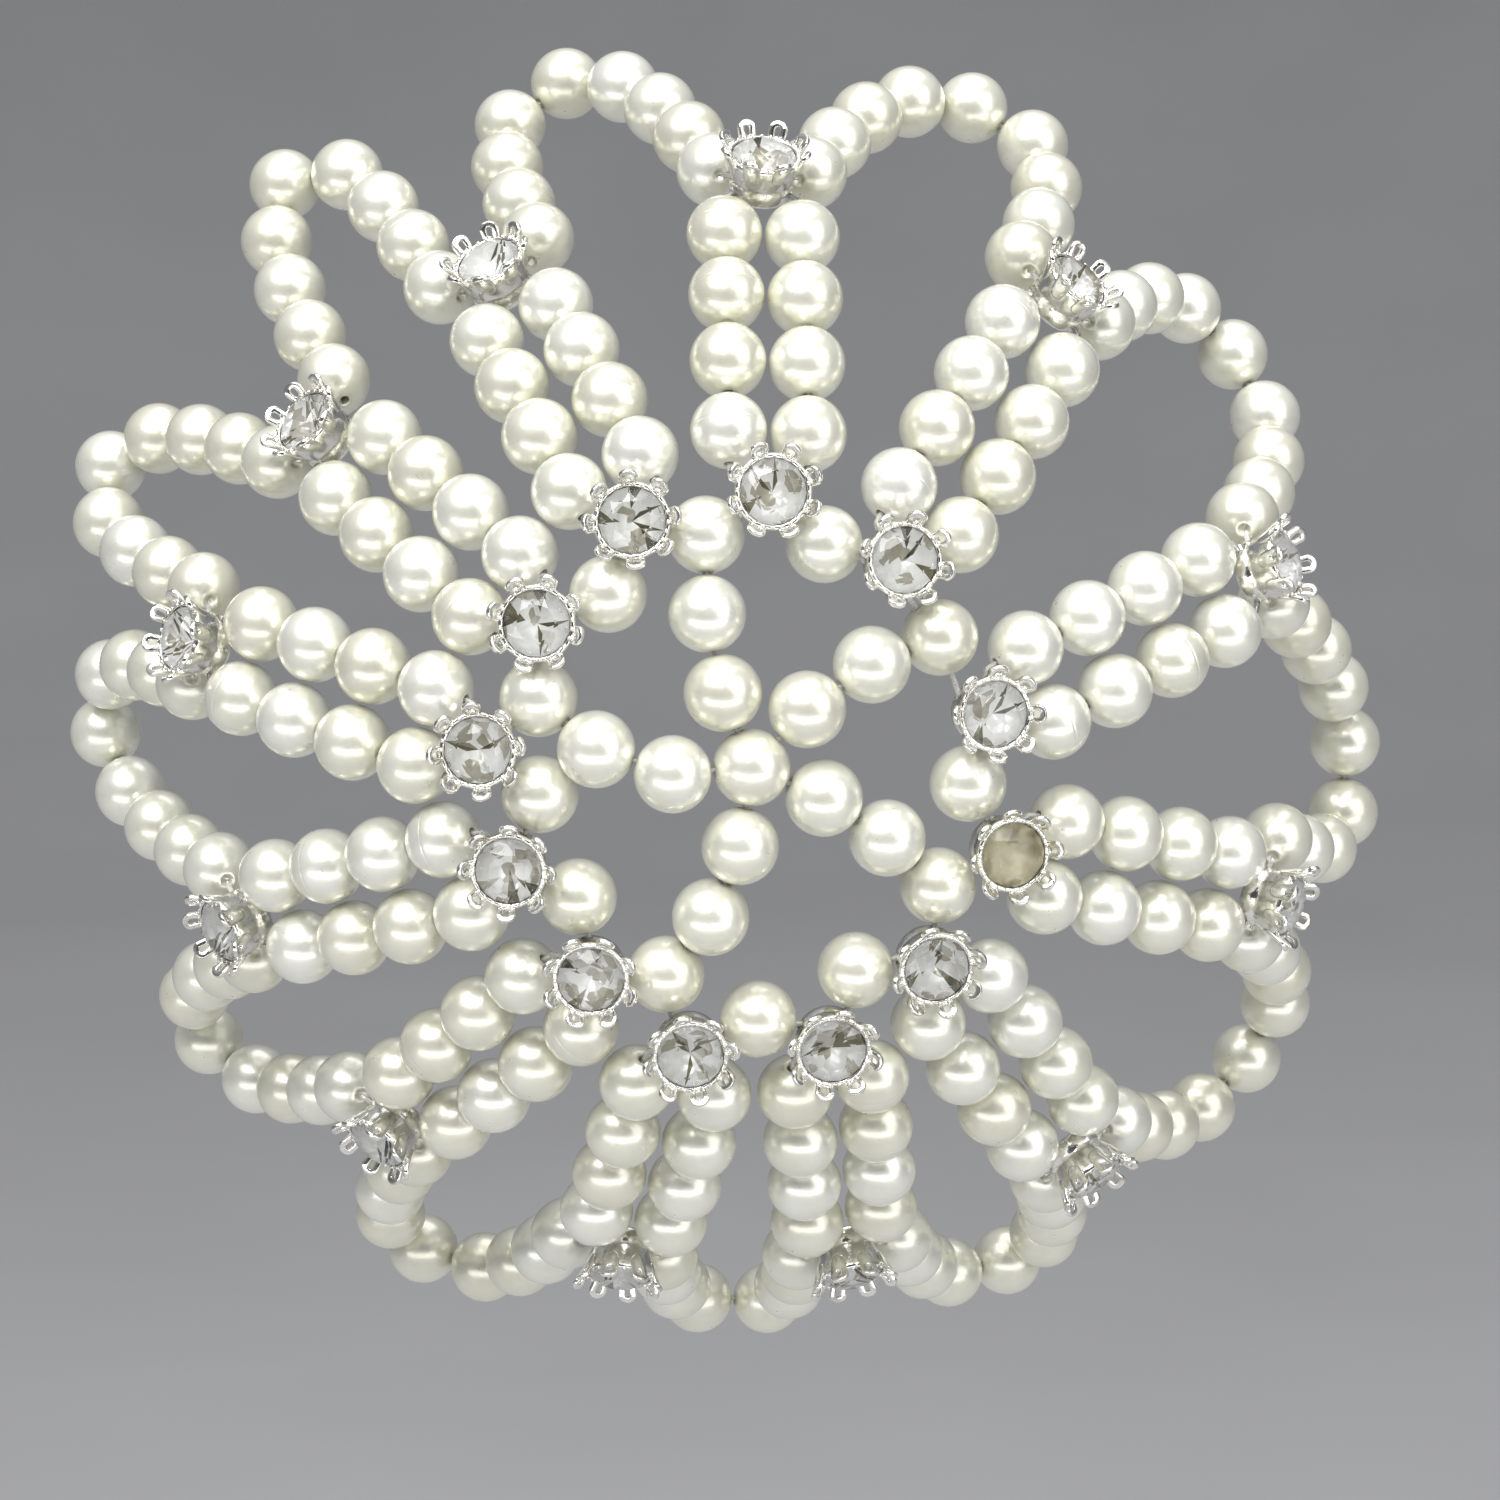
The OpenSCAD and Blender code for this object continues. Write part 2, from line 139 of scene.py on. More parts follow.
# Colours along a ramp: position and colour
PEARL_TONES = (
    (0.0, (0.79, 0.78, 0.67)),
    (0.5, (0.84, 0.84, 0.75)),
    (1.0, (0.87, 0.87, 0.81)),
)
PEARL_CLOUDS = (
    (0.3, (0.93, 0.93, 0.88)),
    (0.7, (1.0, 1.0, 1.0)),
)
SILVER_PATCHES = (
    (0.30, (0.52, 0.50, 0.44)),
    (0.48, (0.86, 0.85, 0.80)),
    (1.0, (0.95, 0.95, 0.93)),
)
# Painted glints on the foil: some small cells dimmer, the rest white
GLINTS = (
    (0.24, (0.45, 0.42, 0.34)),
    (0.32, (1.0, 1.0, 1.0)),
)
# The foil's own white, with some facets painted dark or brown as painted reflections
FOIL_WITH_PAINTED_REFLECTIONS = (
    (0.0, (0.04, 0.04, 0.02)),
    (0.10, (0.20, 0.17, 0.08)),
    (0.15, (0.97, 0.97, 0.94)),
    (1.0, (1.0, 1.0, 1.0)),
)
# The clouded foil's own yellowish colour, lighter or darker on each facet as a painted reflection
CLOUDED_FOIL_WITH_PAINTED_REFLECTIONS = (
    (0.0, (0.62, 0.58, 0.42)),
    (1.0, (0.95, 0.92, 0.78)),
)
NYLON_STREAKS = (
    (0.3, (0.78, 0.77, 0.72)),
    (0.7, (0.93, 0.93, 0.9)),
)
FLOOR_PATCHES = (
    (0.3, (0.44, 0.44, 0.45)),
    (0.7, (0.47, 0.47, 0.48)),
)
CARD_CLOTH = (
    (0.3, (0.05, 0.05, 0.06)),
    (0.7, (0.07, 0.07, 0.08)),
)
SKY = (
    (0.0, (0.30, 0.31, 0.33)),
    (0.35, (0.45, 0.47, 0.50)),
    (0.9, (1.0, 1.0, 1.0)),
)
CRYSTAL_TINT = (0.97, 0.98, 0.96)
CLOUDED_TINT = (0.90, 0.88, 0.76)
HAZE_SHADE = 0.9

# The colour sockets of a mix node
MIX_SHARE, MIX_A, MIX_B, MIX_RESULT = 0, 6, 7, 2


def numbered(name, k):
    return f"{name}_{k:02d}"


def stone_node(ring, k):
    return numbered("stone_" + ring, k)


# Reading the CAD nodes
def corners_of(node):
    """A CAD node's corners and triangles, in millimetres, with coincident corners welded."""
    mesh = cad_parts[node].data
    mesh.calc_loop_triangles()
    corners = np.zeros(len(mesh.vertices) * 3)
    mesh.vertices.foreach_get("co", corners)
    corners = corners.reshape(-1, 3) / MM
    triangles = np.zeros(len(mesh.loop_triangles) * 3, int)
    mesh.loop_triangles.foreach_get("vertices", triangles)
    cells = np.round(corners / WELD).astype(np.int64)
    _, first, same = np.unique(cells, axis=0, return_index=True, return_inverse=True)
    triangles = same.reshape(-1)[triangles].reshape(-1, 3)
    flat = (triangles == np.roll(triangles, 1, axis=1)).any(axis=1)
    return corners[first], triangles[~flat]


def loose_parts(node):
    """The separate solids of a CAD node, as corners and triangles."""
    corners, triangles = corners_of(node)
    label = np.arange(len(corners))
    while True:
        lowest = label[triangles].min(axis=1)
        new = label.copy()
        np.minimum.at(new, triangles.reshape(-1), np.repeat(lowest, 3))
        new = new[new]
        if (new == label).all():
            break
        label = new
    parts = []
    for name in np.unique(label[triangles]):
        own = triangles[label[triangles[:, 0]] == name]
        used, renumbered = np.unique(own, return_inverse=True)
        parts.append((corners[used], renumbered.reshape(-1, 3)))
    return parts


def unit(v):
    return v / np.linalg.norm(v, axis=-1, keepdims=True)


def area_vectors(corners, triangles):
    """For each triangle, its normal with its area as the length."""
    a, b, c = (corners[triangles[:, i]] for i in range(3))
    return np.cross(b - a, c - a) / 2


def ball_centre(corners):
    """The centre of the ball that the outer corners lie on."""
    rough = (corners.min(axis=0) + corners.max(axis=0)) / 2
    shell = corners[np.linalg.norm(corners - rough, axis=1) > OUTSIDE_FROM * PEARL_R] - rough
    rows = np.c_[2 * shell, np.ones(len(shell))]
    return rough + np.linalg.lstsq(rows, (shell ** 2).sum(axis=1), rcond=None)[0][:3]


def hole_directions(corners, triangles, centre):
    """Unit vectors from the centre to the mouths of the holes."""
    outward = unit(corners[triangles].mean(axis=1) - centre)
    facing = (unit(area_vectors(corners, triangles)) * outward).sum(axis=1)
    walls = np.unique(triangles[facing < WALL_FACING])
    rim = corners[walls] - centre
    rim = unit(rim[np.linalg.norm(rim, axis=1) > MOUTH_FROM * PEARL_R])
    groups = []
    for u in rim:
        for group in groups:
            if unit(np.sum(group, axis=0)) @ u > math.cos(MOUTH_SPREAD):
                group.append(u)
                break
        else:
            groups.append([u])
    return [unit(np.sum(group, axis=0)) for group in groups]


# Making meshes
def turn_to(axis):
    """A rotation whose third column is the axis."""
    near = np.array([0.0, 0.0, 1.0])
    if abs(near @ axis) > ALONG:
        near = np.array([1.0, 0.0, 0.0])
    x = unit(np.cross(near, axis))
    return np.stack([x, np.cross(axis, x), axis], axis=1)


def lathe(outline, sides):
    """A closed outline of (radius, height) rows, turned round the vertical axis."""
    turn = np.linspace(0, TAU, sides, endpoint=False)
    radius, height = outline[:, :1], outline[:, 1:]
    corners = np.stack(
        [radius * np.cos(turn), radius * np.sin(turn), height + 0 * turn], axis=-1
    ).reshape(-1, 3)
    i, j = np.indices((len(outline), sides)).reshape(2, -1)
    below, above = i * sides, (i + 1) % len(outline) * sides
    after = (j + 1) % sides
    return corners, np.stack([below + j, below + after, above + after, above + j], axis=1)


def ball(detail, radius):
    """A ball of small triangles, as corners and faces."""
    shape = bmesh.new()
    bmesh.ops.create_icosphere(shape, subdivisions=detail, radius=radius)
    corners = np.array([v.co[:] for v in shape.verts])
    faces = [[v.index for v in f.verts] for f in shape.faces]
    shape.free()
    return corners, faces


def placed(name, data):
    """A new object in the scene."""
    obj = bpy.data.objects.new(name, data)
    bpy.context.scene.collection.objects.link(obj)
    return obj


def mesh_from(name, shape):
    """A mesh from a bmesh, which is then freed."""
    mesh = bpy.data.meshes.new(name)
    shape.to_mesh(mesh)
    shape.free()
    return mesh


def temporary(name, corners, faces):
    """A closed object to cut or round, with its faces turned outward."""
    mesh = bpy.data.meshes.new(name)
    mesh.from_pydata([tuple(c) for c in corners], [], [tuple(f) for f in faces])
    shape = bmesh.new()
    shape.from_mesh(mesh)
    bmesh.ops.remove_doubles(shape, verts=shape.verts, dist=WELD)
    bmesh.ops.recalc_face_normals(shape, faces=shape.faces)
    shape.to_mesh(mesh)
    shape.free()
    return placed(name, mesh)


def mesh_arrays(obj):
    """The corners and faces of an object with its modifiers applied."""
    graph = bpy.context.evaluated_depsgraph_get()
    mesh = obj.evaluated_get(graph).to_mesh()
    corners = np.array([v.co[:] for v in mesh.vertices])
    faces = [list(p.vertices) for p in mesh.polygons]
    obj.evaluated_get(graph).to_mesh_clear()
    return corners, faces


def drop(*objects):
    for obj in objects:
        bpy.data.objects.remove(obj)


class Build:
    """Collects the corners and faces of one piece, and a number for each corner."""

    def __init__(self):
        self.corners, self.faces, self.tones, self.count = [], [], [], 0

    def add(self, corners, faces, tone=0.5):
        self.corners.append(corners)
        self.faces += [[int(i) + self.count for i in face] for face in faces]
        self.tones.append(np.full(len(corners), tone))
        self.count += len(corners)

    def piece(self, name):
        mesh = bpy.data.meshes.new(name)
        mesh.from_pydata((np.concatenate(self.corners) * MM).tolist(), [], self.faces)
        mesh.polygons.foreach_set("use_smooth", [True] * len(mesh.polygons))
        tone = mesh.attributes.new("tone", "FLOAT", "POINT")
        tone.data.foreach_set("value", np.concatenate(self.tones).astype(np.float32))
        mesh.update()
        return placed(name, mesh)


def settle(obj, slot, material, *nodes):
    """Gives the piece what it is made of and what it rides on, and hides the CAD nodes it stands in
    for; slot is not used.
    """
    obj.data.materials.append(material)
    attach(obj, "root")
    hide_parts(*nodes)
    return obj


# Shader helpers
def new_material(name):
    material = bpy.data.materials.new(name)
    material.use_nodes = True
    tree = material.node_tree
    shader = tree.nodes["Principled BSDF"]
    return material, tree, shader


def add_node(tree, kind, **values):
    node = tree.nodes.new(kind)
    for name, value in values.items():
        if name in node.inputs:
            node.inputs[name].default_value = value
        else:
            setattr(node, name, value)
    return node


def noise(tree, scale, detail=3.0, rough=0.5):
    """Noise that is fixed in the object, with its features a given number to the metre."""
    place = add_node(tree, "ShaderNodeTexCoord")
    texture = add_node(tree, "ShaderNodeTexNoise", Scale=scale, Detail=detail, Roughness=rough)
    tree.links.new(place.outputs["Object"], texture.inputs["Vector"])
    return texture.outputs["Fac"]


def tone_of(tree):
    """The number that each corner carries."""
    return add_node(tree, "ShaderNodeAttribute", attribute_name="tone").outputs["Fac"]


def ramp(tree, value, *stops):
    """A colour ramp over (position, colour) stops."""
    node = add_node(tree, "ShaderNodeValToRGB")
    points = node.color_ramp.elements
    while len(points) < len(stops):
        points.new(0.5)
    for point, (position, colour) in zip(points, stops):
        point.position = position
        point.color = (*colour, 1.0)
    tree.links.new(value, node.inputs["Fac"])
    return node.outputs["Color"]


def between(tree, value, low, high):
    """A number from 0 to 1, moved to the range from low to high."""
    node = add_node(tree, "ShaderNodeMapRange")
    node.inputs["To Min"].default_value = low
    node.inputs["To Max"].default_value = high
    tree.links.new(value, node.inputs["Value"])
    return node.outputs["Result"]


def multiplied(tree, a, b):
    """One colour darkened by another."""
    node = add_node(tree, "ShaderNodeMix", data_type="RGBA", blend_type="MULTIPLY")
    node.inputs[MIX_SHARE].default_value = 1.0
    tree.links.new(a, node.inputs[MIX_A])
    tree.links.new(b, node.inputs[MIX_B])
    return node.outputs[MIX_RESULT]


def bump(tree, shader, height, strength, distance):
    node = add_node(tree, "ShaderNodeBump", Strength=strength, Distance=distance)
    tree.links.new(height, node.inputs["Height"])
    tree.links.new(node.outputs["Normal"], shader.inputs["Normal"])


# Materials
def pearl_material():
    """Ivory lacquer over a pearly coat: a satin shine under a clear gloss."""
    material, tree, shader = new_material("pearl_lustre")
    body = ramp(tree, tone_of(tree), *PEARL_TONES)
    clouds = ramp(tree, noise(tree, scale=420, detail=2.0), *PEARL_CLOUDS)
    satin = between(tree, noise(tree, scale=900), low=0.24, high=0.36)
    tree.links.new(multiplied(tree, body, clouds), shader.inputs["Base Color"])
    tree.links.new(satin, shader.inputs["Roughness"])
    shader.inputs["Metallic"].default_value = 0.52
    shader.inputs["Subsurface Weight"].default_value = 0.1
    shader.inputs["Subsurface Radius"].default_value = (1.0, 0.9, 0.6)
    shader.inputs["Subsurface Scale"].default_value = 0.0012
    shader.inputs["Coat Weight"].default_value = 0.7
    shader.inputs["Coat Roughness"].default_value = 0.12
    bump(tree, shader, noise(tree, scale=2600, detail=4.0), strength=0.05, distance=0.0002)
    return material


def silver_material():
    """Silver plate, a little worn and dimmed in patches."""
    material, tree, shader = new_material("silver_plate")
    patches = noise(tree, scale=700, detail=5.0, rough=0.6)
    tree.links.new(ramp(tree, patches, *SILVER_PATCHES), shader.inputs["Base Color"])
    tree.links.new(between(tree, patches, low=0.24, high=0.10), shader.inputs["Roughness"])
    shader.inputs["Metallic"].default_value = 1.0
    bump(tree, shader, noise(tree, scale=3500), strength=0.12, distance=0.0002)
    return material


def crystal_material(name, tint, roughness):
    """The clear crown of a stone, faintly scratched."""
    material, tree, shader = new_material(name)
    shade = tuple(HAZE_SHADE * c for c in tint)
    haze = ramp(tree, noise(tree, scale=1800, detail=4.0), (0.35, shade), (0.65, tint))
    scratches = between(tree, noise(tree, scale=1200), low=0.5 * roughness, high=roughness)
    tree.links.new(haze, shader.inputs["Base Color"])
    tree.links.new(scratches, shader.inputs["Roughness"])
    shader.inputs["Transmission Weight"].default_value = 1.0
    shader.inputs["IOR"].default_value = 1.58
    return material


def foil_material(name, *stops):
    """The mirror behind a stone, with painted reflections: a light or dark tone on each facet, and
    small cells of painted glints.
    """
    material, tree, shader = new_material(name)
    place = add_node(tree, "ShaderNodeTexCoord")
    cells = add_node(tree, "ShaderNodeTexVoronoi", Scale=1000.0)
    tree.links.new(place.outputs["Object"], cells.inputs["Vector"])
    glints = ramp(tree, cells.outputs["Color"], *GLINTS)
    facet_reflections = ramp(tree, tone_of(tree), *stops)
    gloss = between(tree, noise(tree, scale=900), low=0.12, high=0.3)
    tree.links.new(multiplied(tree, facet_reflections, glints), shader.inputs["Base Color"])
    tree.links.new(gloss, shader.inputs["Roughness"])
    shader.inputs["Metallic"].default_value = 0.12
    shader.inputs["Coat Weight"].default_value = 0.6
    bump(tree, shader, cells.outputs["Distance"], strength=0.7, distance=0.0004)
    return material


def thread_material():
    """Clear nylon thread with faint streaks."""
    material, tree, shader = new_material("nylon_thread")
    streaks = ramp(tree, noise(tree, scale=2400), *NYLON_STREAKS)
    gloss = between(tree, noise(tree, scale=1500), low=0.2, high=0.35)
    tree.links.new(streaks, shader.inputs["Base Color"])
    tree.links.new(gloss, shader.inputs["Roughness"])
    shader.inputs["Transmission Weight"].default_value = 0.55
    return material


def stage_material(name, patch_scale, patches, roughness):
    """Matt paint or cloth with soft patches."""
    material, tree, shader = new_material(name)
    colour = ramp(tree, noise(tree, scale=patch_scale), *patches)
    tree.links.new(colour, shader.inputs["Base Color"])
    shader.inputs["Roughness"].default_value = roughness
    return material


# Pearls
def pearl_outline(seam):
    """Half section of a drilled pearl: up its outside, round the lip and down the hole."""
    top = math.acos((BORE_R + MOUTH_LIP) / PEARL_R)
    lats = np.linspace(-top, top, BELTS)
    groove = 0
    if seam:
        lats = np.sort(np.r_[lats, SEAM_WIDTH * np.arange(-2, 3)])
        groove = SEAM_DEPTH * np.exp(-((lats / SEAM_WIDTH) ** 2))
    radius = PEARL_R - groove
    outside = np.stack([radius * np.cos(lats), radius * np.sin(lats)], axis=1)
    height = PEARL_R * math.sin(top)
    start = np.array([BORE_R + MOUTH_LIP, height])
    corner = np.array([BORE_R, height])
    end = np.array([BORE_R, height - LIP_DEPTH])
    lip = [(1 - s) ** 2 * start + 2 * s * (1 - s) * corner + s ** 2 * end for s in LIP_STEPS]
    flip = np.array([1, -1])
    return np.array([*outside, *lip, *(p * flip for p in reversed(lip))])


def drilled_pearl(axis, seam):
    """A pearl with one straight hole along the axis."""
    corners, faces = lathe(pearl_outline(seam), SIDES)
    return corners @ turn_to(axis).T, faces


def knot_pearl(holes):
    """A pearl with a dimple where each thread goes in."""
    corners, faces = ball(KNOT_DETAIL, 1)
    depth = np.zeros(len(corners))
    for hole in holes:
        angle = np.arccos(np.clip(corners @ hole, -1, 1)) * PEARL_R
        fall = np.clip((KNOT_HOLE_R + MOUTH_LIP - angle) / (2 * MOUTH_LIP), 0, 1)
        depth = np.maximum(depth, fall ** 2 * (3 - 2 * fall) * KNOT_HOLE_DEPTH)
    return corners * (PEARL_R - depth)[:, None], faces


def pearl_piece(node, material, dice):
    """The pearls of one CAD node, each where its solid is."""
    build = Build()
    for corners, triangles in loose_parts(node):
        centre = ball_centre(corners)
        holes = hole_directions(corners, triangles, centre)
        straight = len(holes) == 2 and holes[0] @ holes[1] < OPPOSITE
        seam = dice.random() < SEAM_SHARE
        shape, faces = drilled_pearl(holes[0], seam) if straight else knot_pearl(holes)
        shrink = np.array([1 - SQUASH * dice.random() for _ in range(3)])
        build.add(shape * shrink + centre, faces, dice.random())
    return settle(build.piece(node + "_lustre"), "pearl", material, node)


# Stones
class Seat:
    """Where a stone sits: its axis, its girdle's middle and the crossing of the threads below."""

    def __init__(self, node):
        self.corners, self.triangles = corners_of(node)
        areas = area_vectors(self.corners, self.triangles)
        normals = unit(areas)
        same = normals @ normals.T > SAME_FACET
        table = int(np.argmax((same * np.linalg.norm(areas, axis=1)).sum(axis=1)))
        self.axis = normals[table]
        top = self.corners[np.unique(self.triangles[same[table]])]
        middle = top.mean(axis=0)
        from_middle = self.corners - middle
        height = from_middle @ self.axis
        radius = np.linalg.norm(from_middle - height[:, None] * self.axis, axis=1)
        self.girdle = middle + self.axis * height[radius > GIRDLE_FROM * radius.max()].max()
        self.crossing = self.girdle - self.axis * GIRDLE_RISE


def stone_piece(node, seat, slot, crystal, foil, dice):
    """The stone's own facets, clear above the girdle and backed with foil below it."""
    shape = bmesh.new()
    corners = [shape.verts.new(c * MM) for c in seat.corners]
    for triangle in seat.triangles:
        shape.faces.new([corners[i] for i in triangle])
    bmesh.ops.dissolve_limit(shape, angle_limit=FACET_ANGLE, verts=shape.verts, edges=shape.edges)
    tone = shape.faces.layers.float.new("tone")
    for face in shape.faces:
        # A random number for each facet, which the foil turns into a painted reflection
        face[tone] = dice.random()
        middle = np.array(face.calc_center_median()) / MM - seat.girdle
        face.material_index = 1 if middle @ seat.axis < FOIL_BELOW else 0
    obj = placed(node + "_cut", mesh_from(node + "_cut", shape))
    settle(obj, slot, crystal, node)
    obj.data.materials.append(foil)
    return obj


# Settings
def cup_outline():
    """Half section of a cup: up its outside, over the rim and down to its floor."""
    bottom, top = -FOOT_H / 2, FOOT_H / 2
    hollow_r = RIM_R - WALL
    # Radius, step in from it, height, step up from it
    rows = [
        (0.0, 0.0, bottom, 0.0),
        (FOOT_R, 0.45, bottom, 0.0),
        (FOOT_R, 0.13, bottom, 0.13),
        (FOOT_R, 0.0, bottom, 0.4),
        (FOOT_R, 0.0, top, -0.2),
        (FOOT_R, 0.12, top, 0.0),
        (FOOT_R, 0.0, top, 0.2),
        (RIM_R, 0.08, CLAW_ROOT, 0.0),
        (RIM_R, 0.0, CLAW_ROOT, 0.3),
        (RIM_R, 0.0, GIRDLE_RISE, 0.0),
        (RIM_R, 0.1, GIRDLE_RISE, 0.14),
        (hollow_r, 0.14, GIRDLE_RISE, 0.12),
        (hollow_r, 0.14, GIRDLE_RISE, 0.02),
        (hollow_r, 0.0, GIRDLE_RISE, -0.1),
        (hollow_r, 0.0, CLAW_ROOT, 0.0),
        (FOOT_R, 0.6, top, 0.35),
        (FOOT_R, 1.4, top, 0.0),
        (0.0, 0.0, top, 0.0),
    ]
    return np.array([(radius - step_in, height + step_up) for radius, step_in, height, step_up in rows])


def thread_pin(x):
    """A rod that cuts a thread hole across a cup."""
    rod = bmesh.new()
    ends = {"radius1": THREAD_HOLE_R, "radius2": THREAD_HOLE_R}
    bmesh.ops.create_cone(rod, cap_ends=True, segments=PIN_SIDES, depth=3 * RIM_R, **ends)
    turn = Matrix.Translation((x, 0, 0)) @ Matrix.Rotation(TAU / 4, 4, "X")
    bmesh.ops.transform(rod, matrix=turn, verts=rod.verts)
    return placed("pin", mesh_from("pin", rod))


def cup_shape():
    """A turned cup with its thread holes."""
    cup = temporary("cup", *lathe(cup_outline(), CUP_SIDES))
    pins = [thread_pin(x) for x in THREAD_HOLES]
    for pin in pins:
        cut = cup.modifiers.new("thread_hole", "BOOLEAN")
        cut.object = pin
        cut.solver = "EXACT"
    shape = mesh_arrays(cup)
    drop(cup, *pins)
    return shape


def stadium(low, high, radius, count):
    """Points round a slot with round ends, from its right side upward."""
    points = []
    for i in range(count):
        a = TAU * (i + 0.5) / count
        middle = high if math.sin(a) > 0 else low
        points.append((radius * math.cos(a), middle + radius * math.sin(a)))
    return points


def on_rim(x, y, t):
    """A point of a flat claw, x across, y up and t out, where the curled claw has it."""
    curl = CLAW_CURL * max(y, 0) / (CLAW_L + CLAW_W / 2)
    reach, rise = 0.0, 0.0
    for i in range(CLAW_STEPS):
        lean = CLAW_LEAN + curl * (i + 0.5) / CLAW_STEPS
        reach += math.sin(lean) * y / CLAW_STEPS
        rise += math.cos(lean) * y / CLAW_STEPS
    lean = CLAW_LEAN + curl
    radius = RIM_R - CLAW_T / 2 + reach + t * math.cos(lean)
    angle = x / RIM_R
    height = CLAW_ROOT + rise - t * math.sin(lean)
    return radius * math.cos(angle), radius * math.sin(angle), height


def claw_shape():
    """A claw: a flat loop with a slotted eye, which curls outward from the cup's rim."""
    outer = stadium(0.0, CLAW_L, CLAW_W / 2, CLAW_POINTS)
    inner = stadium(EYE_FROM, EYE_TO, EYE_W / 2, CLAW_POINTS)
    half = CLAW_T / 2
    loops = ((outer, half), (inner, half), (inner, -half), (outer, -half))
    corners = [on_rim(x, y, t) for loop, t in loops for x, y in loop]
    faces = []
    for ring in range(len(loops)):
        a, b = ring * CLAW_POINTS, (ring + 1) % len(loops) * CLAW_POINTS
        for i in range(CLAW_POINTS):
            j = (i + 1) % CLAW_POINTS
            faces.append((a + i, a + j, b + j, b + i))
    claw = temporary("claw", corners, faces)
    rounded = claw.modifiers.new("rounded", "BEVEL")
    rounded.width = CLAW_BEVEL
    rounded.segments = 2
    rounded.limit_method = "ANGLE"
    rounded.angle_limit = CLAW_CORNER
    shape = mesh_arrays(claw)
    drop(claw)
    return shape


def setting_shape():
    """One setting, in millimetres: a turned cup with thread holes, claws and grains on its rim."""
    parts = [cup_shape()]
    claw, claw_faces = claw_shape()
    for i in range(CLAWS):
        a = TAU * (i + 0.5) / CLAWS
        turn = np.array([[math.cos(a), -math.sin(a), 0], [math.sin(a), math.cos(a), 0], [0, 0, 1]])
        parts.append((claw @ turn.T, claw_faces))
    grain, grain_faces = ball(GRAIN_DETAIL, GRAIN_R)
    for i in range(GRAINS):
        a = TAU * i / GRAINS
        x, y = GRAIN_RING_R * math.cos(a), GRAIN_RING_R * math.sin(a)
        parts.append((grain + np.array([x, y, GIRDLE_RISE + GRAIN_RISE]), grain_faces))
    return parts


def settings_piece(name, node, frames, parts, material):
    """A setting in each frame, which is a point and a turn."""
    build = Build()
    for crossing, turn in frames:
        for corners, faces in parts:
            build.add(corners @ turn.T + crossing, faces)
    return settle(build.piece(name), "setting", material, node)


def seat_frame(own, other, sign):
    """The seat's crossing and its turn, with x along the spoke toward the other stone."""
    along = (other.crossing - own.crossing) * sign
    flat = np.array([along[0], 0.0, along[2]])
    x = unit(flat - own.axis * (flat @ own.axis)) * sign
    return own.crossing, np.stack([x, np.cross(own.axis, x), own.axis], axis=1)


# Threads
def thread_piece(node, material):
    """The thread's own tube, rounded."""
    corners, triangles = corners_of(node)
    obj = temporary(node + "_nylon", corners * MM, triangles)
    rounded = obj.modifiers.new("rounded", "SUBSURF")
    rounded.levels = 1
    new, faces = mesh_arrays(obj)
    drop(obj)
    build = Build()
    build.add(new / MM, faces)
    return settle(build.piece(node + "_nylon"), "thread", material, node)


# Stage, light and camera
def look_at(obj, place, target):
    obj.location = place
    obj.rotation_euler = (Vector(target) - Vector(place)).to_track_quat("-Z", "Y").to_euler()


def make_floor():
    """A pale round floor that sweeps up all round, far from the net."""
    line = [(FLOOR_MIDDLE_R, FLOOR_Z), (FLOOR_R, FLOOR_Z)]
    for i in range(1, FLOOR_STEPS + 1):
        a = TAU / 4 * i / FLOOR_STEPS
        line.append((FLOOR_R + SWEEP_R * math.sin(a), FLOOR_Z + SWEEP_R * (1 - math.cos(a))))
    turns = np.linspace(0, TAU, FLOOR_SIDES, endpoint=False)
    corners = [(r * math.cos(a), r * math.sin(a), z) for r, z in line for a in turns]
    faces = []
    for i in range(len(line) - 1):
        for j in range(FLOOR_SIDES):
            k = (j + 1) % FLOOR_SIDES
            low, high = i * FLOOR_SIDES, (i + 1) * FLOOR_SIDES
            faces.append((low + j, low + k, high + k, high + j))
    faces.append(range(FLOOR_SIDES - 1, -1, -1))
    mesh = bpy.data.meshes.new("floor")
    mesh.from_pydata(corners, [], faces)
    mesh.polygons.foreach_set("use_smooth", [True] * len(mesh.polygons))
    mesh.materials.append(stage_material("pale_floor", 6.0, FLOOR_PATCHES, 0.8))
    placed("floor", mesh)


def make_card():
    """A dim disc behind the camera, which dims the middle of what shines, as a photographer does."""
    shape = bmesh.new()
    bmesh.ops.create_circle(shape, cap_ends=True, segments=CARD_SIDES, radius=CARD_R)
    card = placed("card", mesh_from("card", shape))
    look_at(card, CARD_AT, CAMERA_TARGET)
    card.visible_camera = False
    card.data.materials.append(stage_material("dim_card", 8.0, CARD_CLOTH, 0.9))


def make_lights():
    """Soft lights from above and both sides, and a low one in front."""
    for name, place, size, power in LIGHTS:
        light = bpy.data.lights.new(name, "AREA")
        light.shape = "RECTANGLE"
        light.size, light.size_y = size
        light.energy = power
        obj = placed(name, light)
        look_at(obj, place, CAMERA_TARGET)
        obj.visible_camera = False


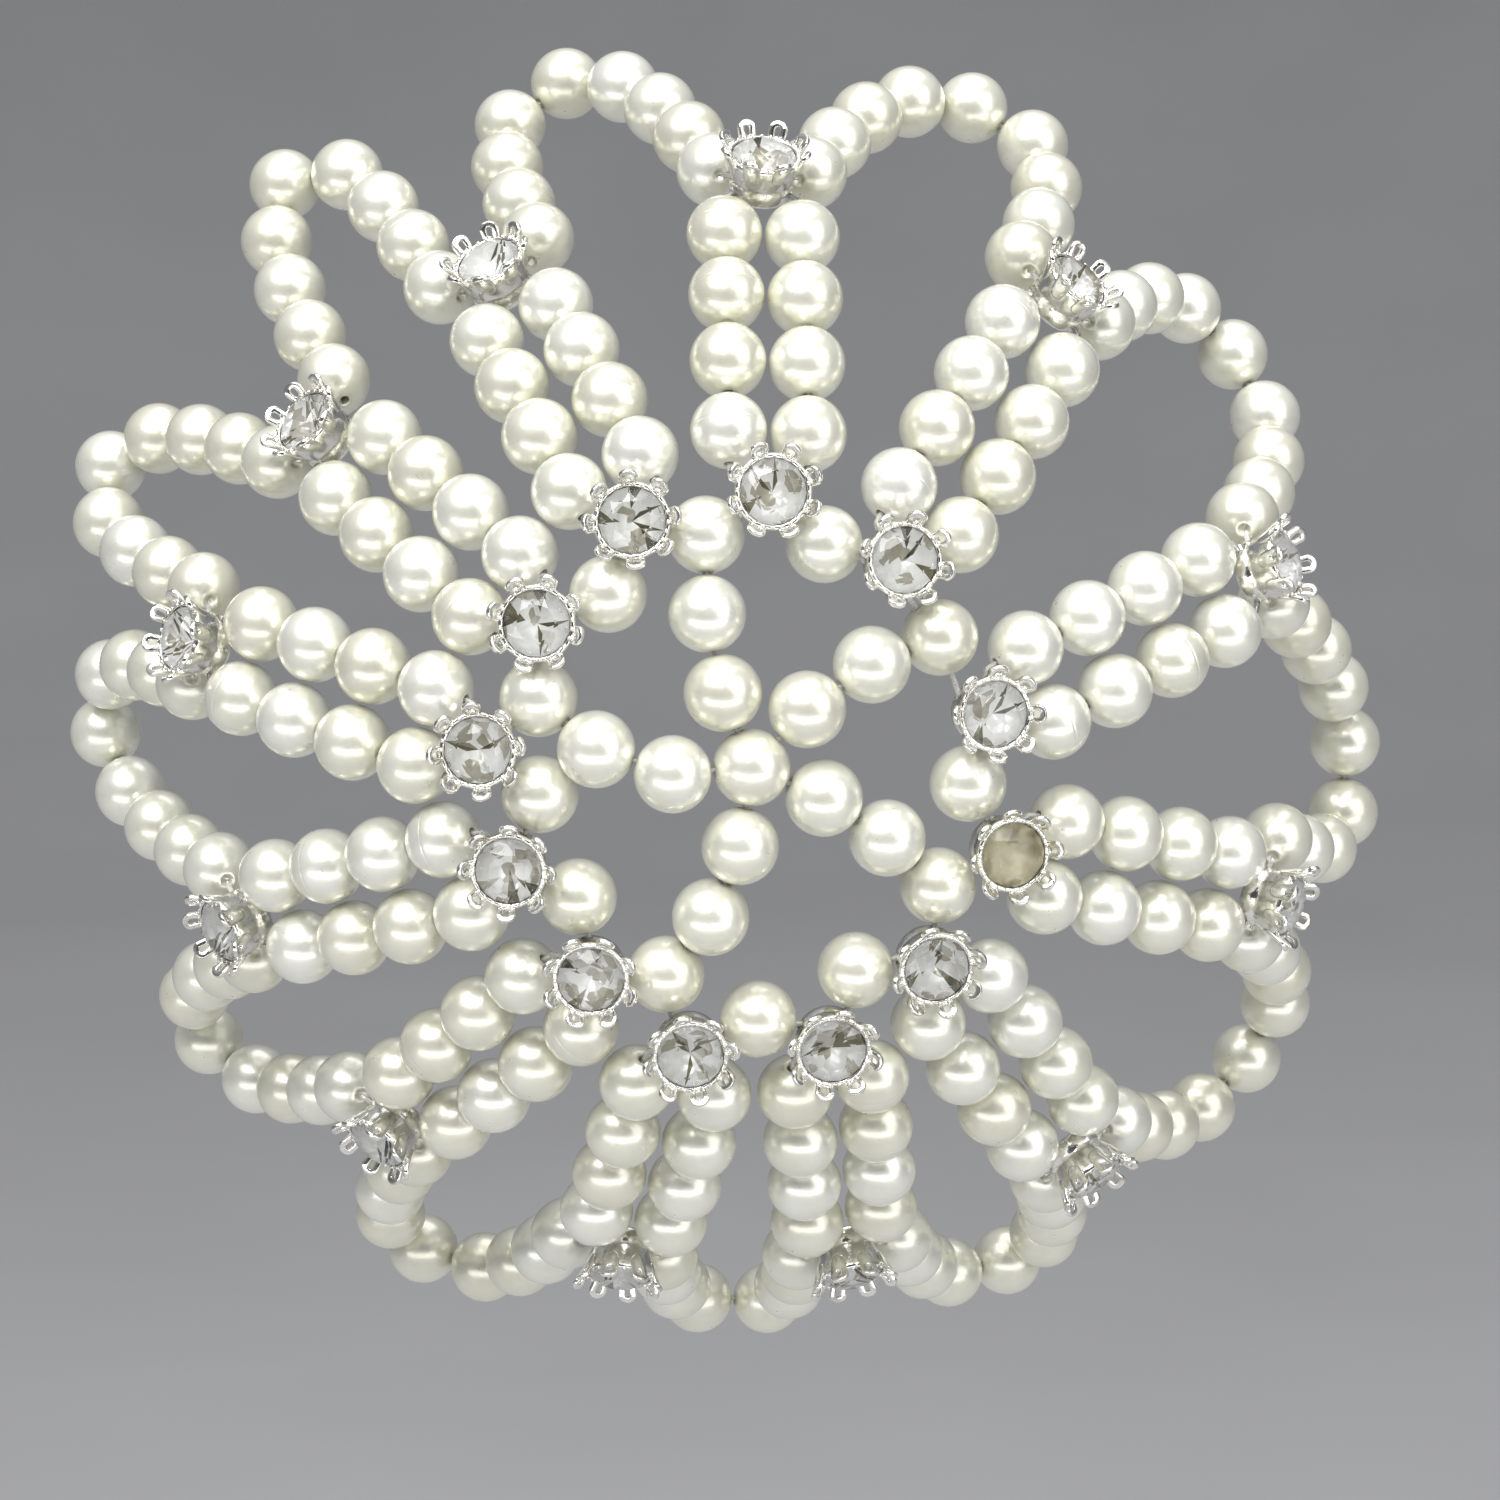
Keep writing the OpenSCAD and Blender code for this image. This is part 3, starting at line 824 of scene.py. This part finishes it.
def make_sky():
    """A grey sky that brightens overhead."""
    world = bpy.data.worlds.new("studio")
    world.use_nodes = True
    tree = world.node_tree
    place = add_node(tree, "ShaderNodeTexCoord")
    split = add_node(tree, "ShaderNodeSeparateXYZ")
    tree.links.new(place.outputs["Generated"], split.inputs["Vector"])
    height = between(tree, split.outputs["Z"], low=0.0, high=1.0)
    background = tree.nodes["Background"]
    tree.links.new(ramp(tree, height, *SKY), background.inputs["Color"])
    background.inputs["Strength"].default_value = SKY_STRENGTH
    bpy.context.scene.world = world
    bpy.context.scene.view_settings.view_transform = "Standard"


def make_camera():
    camera = bpy.data.cameras.new("camera")
    camera.sensor_fit = "HORIZONTAL"
    camera.angle = CAMERA_VIEW
    camera.clip_start = CAMERA_NEAR
    obj = placed("camera", camera)
    look_at(obj, CAMERA_AT, CAMERA_TARGET)
    bpy.context.scene.camera = obj


# The net
def make_pearls():
    material = pearl_material()
    dice = random.Random(PEARL_SEED)
    nodes = ["ring_pearls", "web_pearls"]
    for name in ("spoke_pearls", "edge_pearls"):
        nodes += [numbered(name, k) for k in range(1, SPOKES + 1)]
    for node in nodes:
        pearl_piece(node, material, dice)


def make_stones_and_settings():
    dice = random.Random(STONE_SEED)
    clear = (
        "stone",
        crystal_material("crystal", CRYSTAL_TINT, roughness=0.03),
        foil_material("foil", *FOIL_WITH_PAINTED_REFLECTIONS),
    )
    clouded = (
        "clouded_stone",
        crystal_material("clouded_crystal", CLOUDED_TINT, roughness=0.5),
        foil_material("clouded_foil", *CLOUDED_FOIL_WITH_PAINTED_REFLECTIONS),
    )
    places = [(ring, k) for ring in ("inner", "outer") for k in range(1, SPOKES + 1)]
    seats = {place: Seat(stone_node(*place)) for place in places}
    for place, seat in seats.items():
        finish = clouded if place == CLOUDED else clear
        stone_piece(stone_node(*place), seat, *finish, dice)
    parts = setting_shape()
    silver = silver_material()
    for name, other, sign in (("inner", "outer", 1), ("outer", "inner", -1)):
        frames = [seat_frame(seats[name, k], seats[other, k], sign) for k in range(1, SPOKES + 1)]
        settings_piece(name + "_cups", name + "_settings", frames, parts, silver)


def make_threads():
    material = thread_material()
    for node in ("ring_thread", "web_threads", "spoke_threads", "edge_thread"):
        thread_piece(node, material)


make_camera()
make_floor()
make_card()
make_lights()
make_sky()
make_pearls()
make_stones_and_settings()
make_threads()
